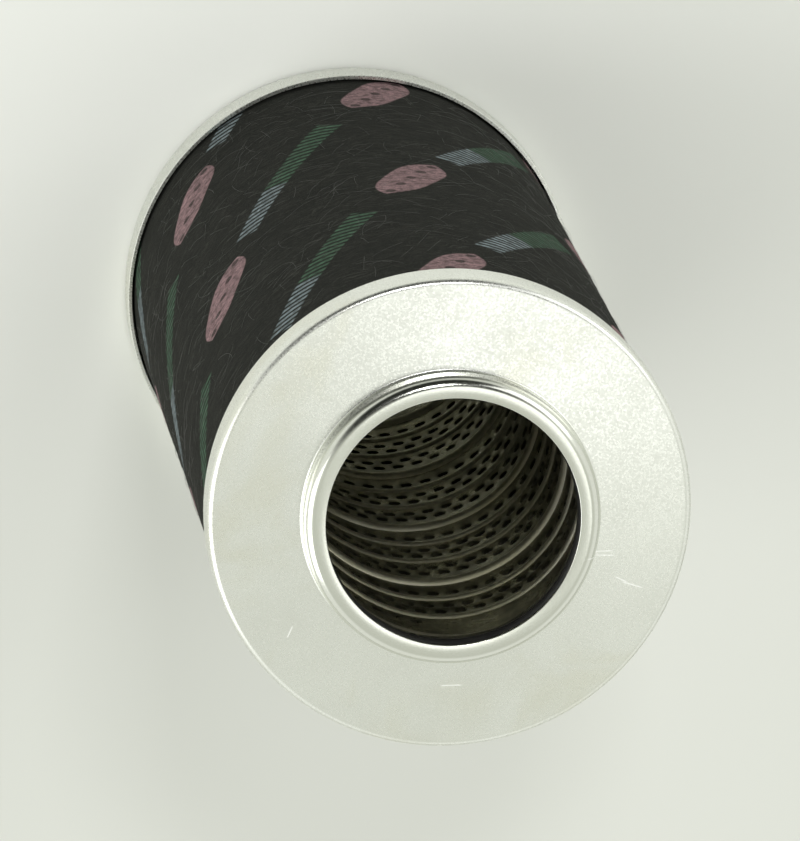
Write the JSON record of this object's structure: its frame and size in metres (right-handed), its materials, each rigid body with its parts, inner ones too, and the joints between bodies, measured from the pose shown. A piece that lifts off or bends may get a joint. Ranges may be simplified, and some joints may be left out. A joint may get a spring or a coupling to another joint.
{
  "type": "hydraulic pressure filter element",
  "caption": "Pleated filter element for a hydraulic pressure filter: pressed end caps, a collar with a seal ring, a perforated core tube and a fleece sleeve.",
  "frame": {"origin": "centre of the closed end's flat base, on the axis", "axes": "+Z along the axis, from the closed end to the open end with its collar; the welded overlap of the sleeve faces +Y"},
  "size_m": [0.0786, 0.0786, 0.15],
  "materials": {
    "plated_steel": "bright tin plating, satin",
    "core_steel": "dull galvanised strip",
    "seal_rubber": "smooth",
    "wire_mesh": "woven wire",
    "pale_fleece": "thin non-woven",
    "filter_media": "glass fibre media",
    "adhesive": "cast resin",
    "sleeve_fleece": "dark non-woven fleece with print"
  },
  "bodies": {
    "root": {"open_end_cap": "plated_steel", "closed_end_cap": "plated_steel", "seal_ring": "seal_rubber", "seal_seat": "core_steel", "core_tube": "core_steel", "inner_support_mesh": "wire_mesh", "inner_fleece": "pale_fleece", "fine_filter_layer": "filter_media", "prefilter_layer": "filter_media", "outer_fleece": "pale_fleece", "outer_support_mesh": "wire_mesh", "pleat_seam_clip": "wire_mesh", "open_end_adhesive": "adhesive", "closed_end_adhesive": "adhesive", "outer_sleeve": "sleeve_fleece"}
  },
  "joints": []
}
